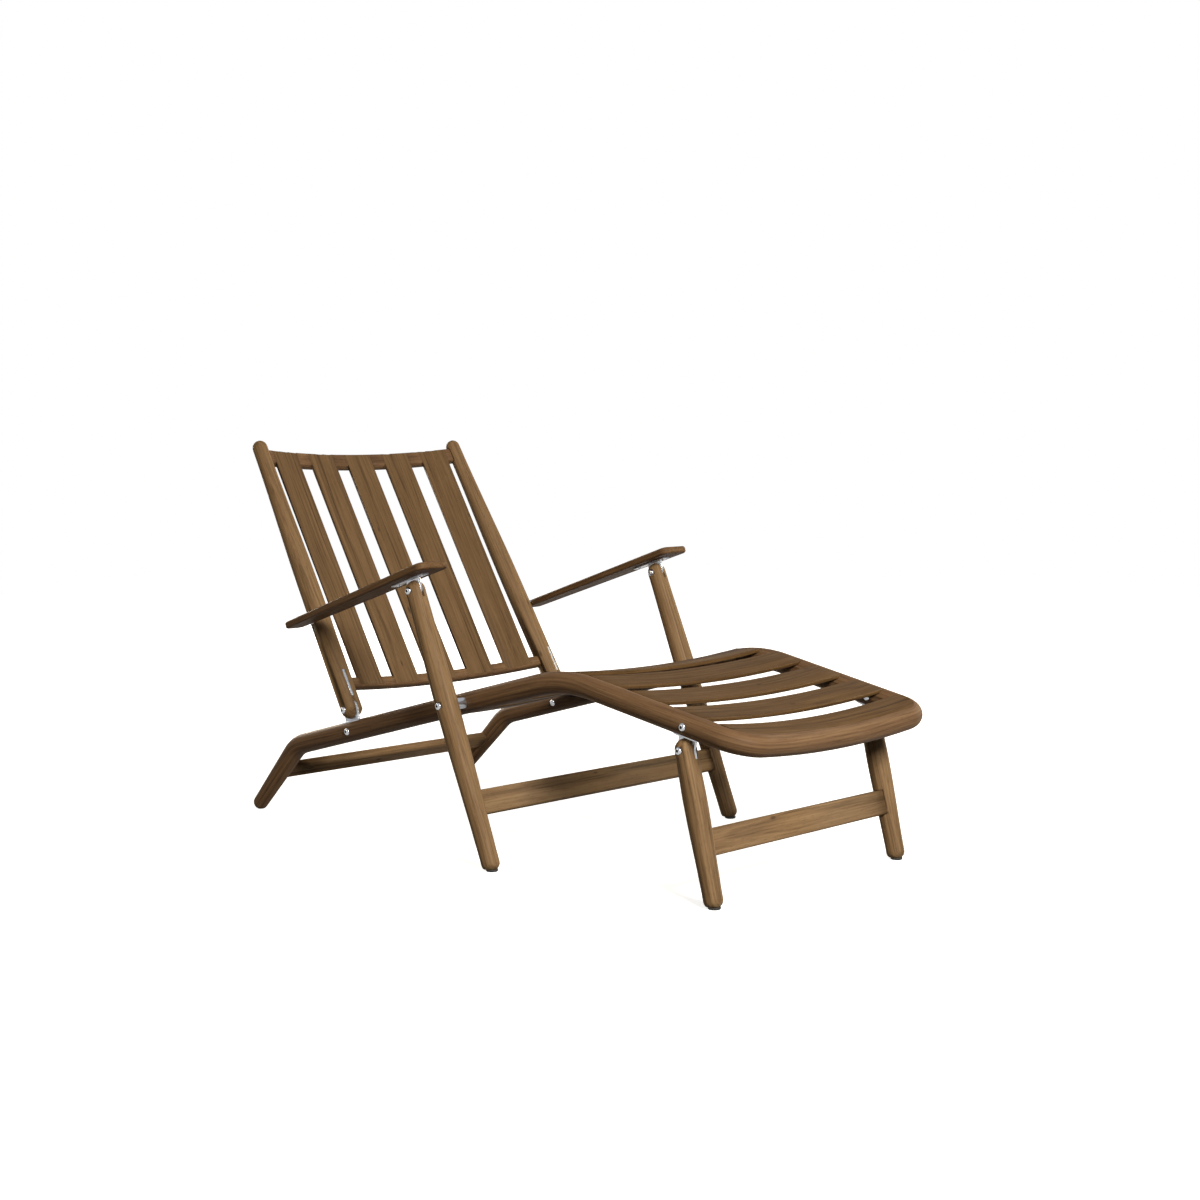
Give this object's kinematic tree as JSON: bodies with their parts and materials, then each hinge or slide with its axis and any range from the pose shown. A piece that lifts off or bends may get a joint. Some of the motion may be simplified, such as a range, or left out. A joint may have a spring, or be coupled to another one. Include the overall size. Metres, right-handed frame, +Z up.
{
  "type": "folding chaise longue",
  "caption": "Wooden outdoor chaise longue with slatted seat and back, round bent rails, arms and folding legs on steel plate hinges.",
  "frame": {"origin": "centre of the outline on the floor", "axes": "+Z up, -Y toward the foot end, X across the width; left and right in the names are as seen from the foot end"},
  "size_m": [0.733, 1.3482, 0.7704],
  "materials": {
    "teak_frame": "oiled, satin",
    "teak_turned": "oiled, satin",
    "teak_slats": "oiled, satin",
    "steel_plates": "brushed",
    "steel_bolts": "polished",
    "rubber": "matt"
  },
  "bodies": {
    "seat_frame": {"side_rail_left": "teak_frame", "side_rail_right": "teak_frame", "foot_end_rail": "teak_frame", "seat_slat_1": "teak_slats", "seat_slat_2": "teak_slats", "seat_slat_3": "teak_slats", "seat_slat_4": "teak_slats", "seat_slat_5": "teak_slats", "seat_slat_6": "teak_slats", "seat_slat_7": "teak_slats", "seat_slat_8": "teak_slats", "seat_slat_9": "teak_slats", "seat_slat_10": "teak_slats", "rear_stretcher": "teak_frame", "back_hinge_plate_left": "steel_plates", "back_hinge_plate_right": "steel_plates", "foot_hinge_plate_left": "steel_plates", "foot_hinge_plate_right": "steel_plates", "rail_bolts": "steel_bolts", "rail_bolt_nuts": "steel_bolts"},
    "back": {"back_stile_left": "teak_turned", "back_stile_right": "teak_turned", "back_top_rail": "teak_frame", "back_bottom_rail": "teak_frame", "back_slat_1": "teak_slats", "back_slat_2": "teak_slats", "back_slat_3": "teak_slats", "back_slat_4": "teak_slats", "back_slat_5": "teak_slats", "back_stop_plates": "steel_plates", "back_pivot_bolts": "steel_bolts", "back_pivot_nuts": "steel_bolts", "arm_link_pins": "steel_bolts"},
    "front_legs": {"front_leg_left": "teak_turned", "front_leg_right": "teak_turned", "front_stretcher": "teak_frame", "leg_spacers": "steel_plates", "leg_pivot_bolts": "steel_bolts", "leg_pivot_nuts": "steel_bolts", "arm_pivot_bolts": "steel_bolts", "arm_pivot_nuts": "steel_bolts", "front_leg_glides": "rubber"},
    "arm_left_body": {"arm_left": "teak_frame", "arm_hinge_plate_left": "steel_plates", "arm_screws_left": "steel_bolts"},
    "arm_right_body": {"arm_right": "teak_frame", "arm_hinge_plate_right": "steel_plates", "arm_screws_right": "steel_bolts"},
    "foot_legs": {"foot_leg_left": "teak_turned", "foot_leg_right": "teak_turned", "foot_stretcher": "teak_frame", "foot_pivot_bolts": "steel_bolts", "foot_pivot_nuts": "steel_bolts", "foot_leg_glides": "rubber"}
  },
  "joints": [
    {"name": "back_fold", "type": "hinge", "parent": "seat_frame", "child": "back", "pos_m": [0, 0.33497, 0.2415], "axis": [1, 0, 0], "range_deg": [0, 96]},
    {"name": "front_leg_fold", "type": "hinge", "parent": "seat_frame", "child": "front_legs", "pos_m": [0, -0.00828, 0.289], "axis": [1, 0, 0], "range_deg": [0, 86.81]},
    {"name": "arm_left_pivot", "type": "hinge", "parent": "front_legs", "child": "arm_left_body", "pos_m": [0, 0.07814, 0.49457], "axis": [1, 0, 0], "range_deg": [-82.23, 0]},
    {"name": "arm_right_pivot", "type": "hinge", "parent": "front_legs", "child": "arm_right_body", "pos_m": [0, 0.07814, 0.49457], "axis": [1, 0, 0], "range_deg": [-82.23, 0]},
    {"name": "foot_leg_fold", "type": "hinge", "parent": "seat_frame", "child": "foot_legs", "pos_m": [0, -0.52766, 0.2589], "axis": [1, 0, 0], "range_deg": [0, 105]}
  ],
  "couplings": [
    {"joint": "front_leg_fold", "follows": "back_fold", "ratio": 0.9043},
    {"joint": "arm_left_pivot", "follows": "back_fold", "ratio": -0.8566},
    {"joint": "arm_right_pivot", "follows": "back_fold", "ratio": -0.8566}
  ]
}
